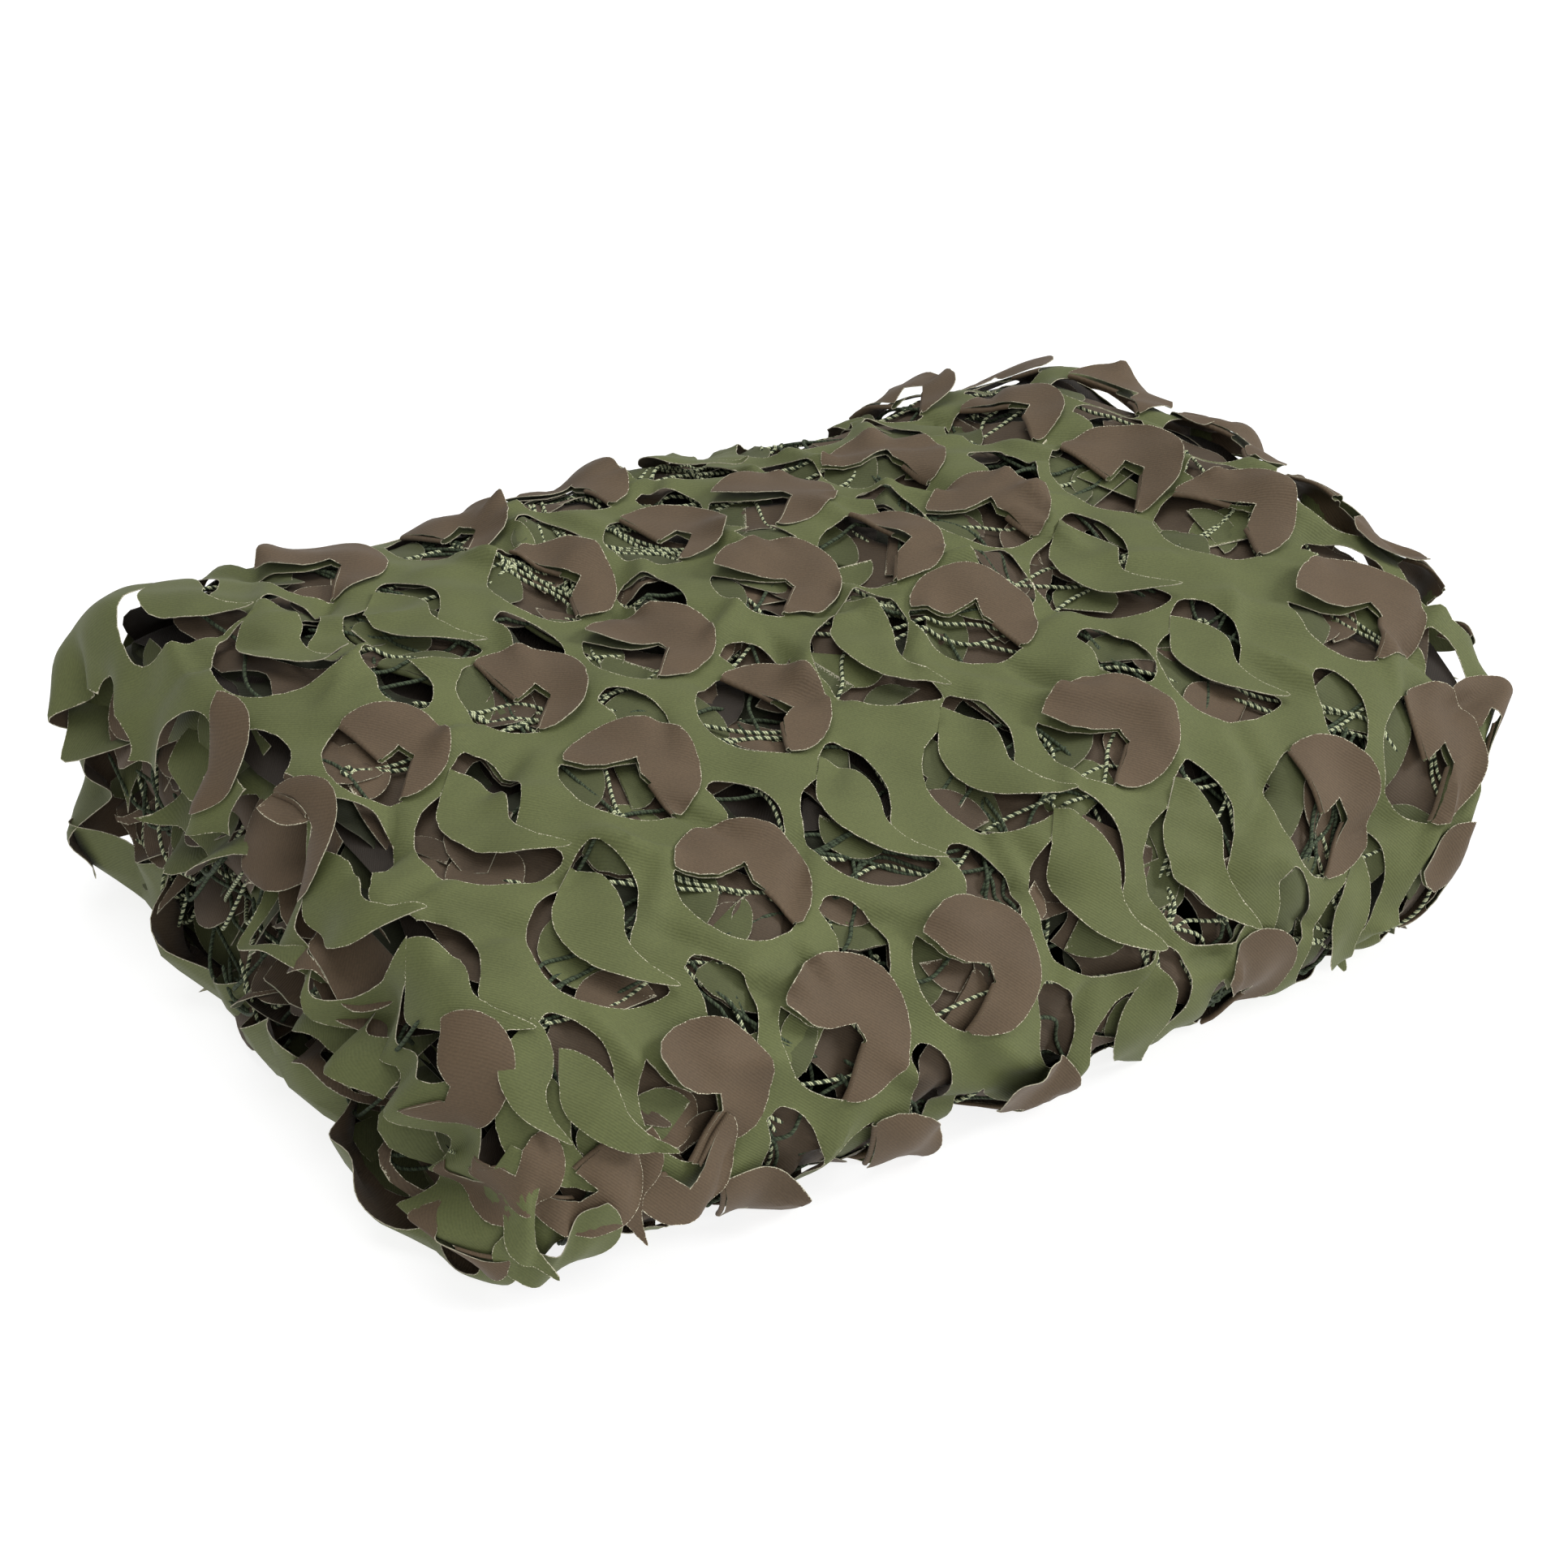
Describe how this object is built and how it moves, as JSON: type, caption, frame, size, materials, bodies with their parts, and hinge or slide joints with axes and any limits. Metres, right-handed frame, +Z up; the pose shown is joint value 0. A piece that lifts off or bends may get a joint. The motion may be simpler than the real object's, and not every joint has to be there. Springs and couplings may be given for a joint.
{
  "type": "folded camouflage net",
  "caption": "Camouflage net of die-cut cloth on a knotted cord net, folded into a flat bundle with its cut leaves folded over beside round holes.",
  "frame": {"origin": "middle of the bundle's outline, on the surface that it lies on", "axes": "+X along the bundle's long side, -Y towards its round folded front, +Z up"},
  "size_m": [0.6065, 0.4526, 0.1948],
  "materials": {
    "cloth": "matt coated woven cloth, olive green on one face and brown on the other, with pale frayed cut edges",
    "cord": "twisted two-colour cord, dark green and pale green"
  },
  "bodies": {
    "root": {"cloth": "cloth", "cord_net": "cord"}
  },
  "joints": []
}
